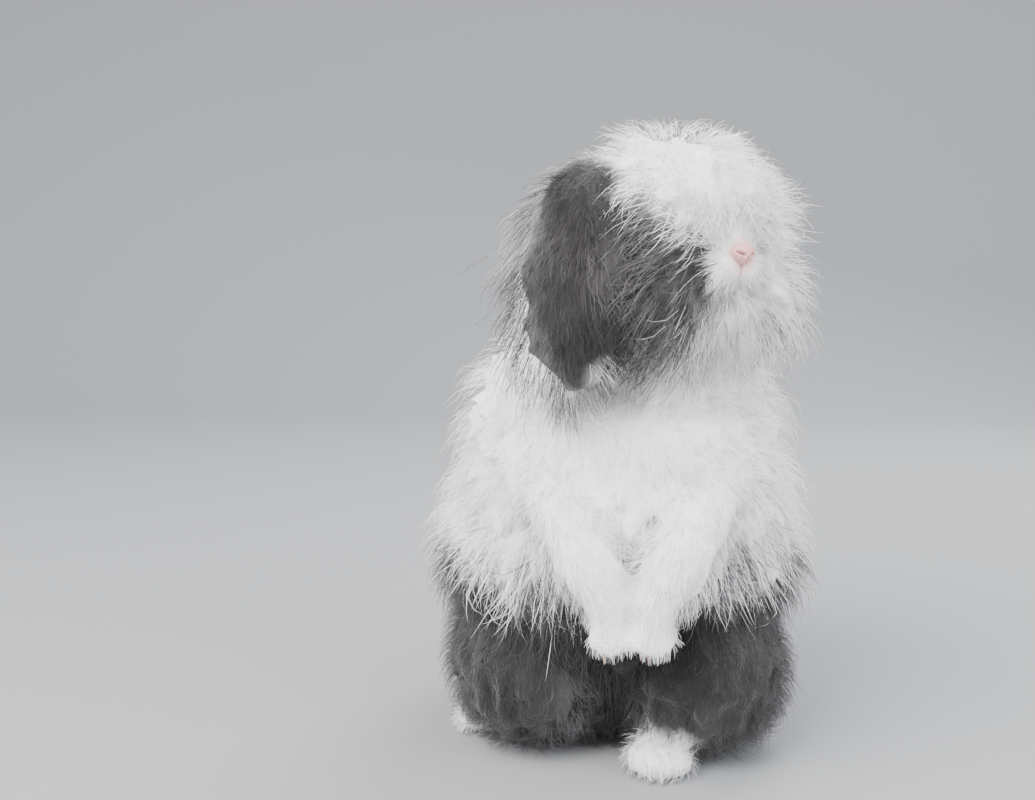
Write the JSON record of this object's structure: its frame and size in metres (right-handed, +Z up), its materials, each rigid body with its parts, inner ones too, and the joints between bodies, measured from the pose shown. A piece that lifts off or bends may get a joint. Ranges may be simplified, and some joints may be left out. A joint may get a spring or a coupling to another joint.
{
  "type": "angora rabbit",
  "caption": "Life-size still model of a small lop-eared angora rabbit sitting up on its haunches, head turned to its left, in long white and dark grey wool.",
  "frame": {"origin": "on the floor, at the centre of the animal's bounding box seen from above", "axes": "+Z up, the body faces -Y, the rabbit's left is +X"},
  "size_m": [0.2268, 0.2788, 0.3457],
  "materials": {
    "white_wool": "long soft white wool",
    "dark_wool": "long soft dark grey wool with paler tips",
    "nose_skin": "bare pink skin with a fine down",
    "eye": "wet, dark brown",
    "claw": "smooth pale horn, darker at the root"
  },
  "bodies": {
    "root": {"ear_left": "dark_wool", "ear_right": "dark_wool", "eye_left": "eye", "eye_right": "eye", "foreleg_left": "white_wool", "foreleg_right": "white_wool", "head": "white_wool", "hind_leg_left": "dark_wool", "hind_leg_right": "dark_wool", "neck": "white_wool", "nose": "nose_skin", "rump": "dark_wool", "tail": "dark_wool", "torso": "white_wool"}
  },
  "joints": []
}
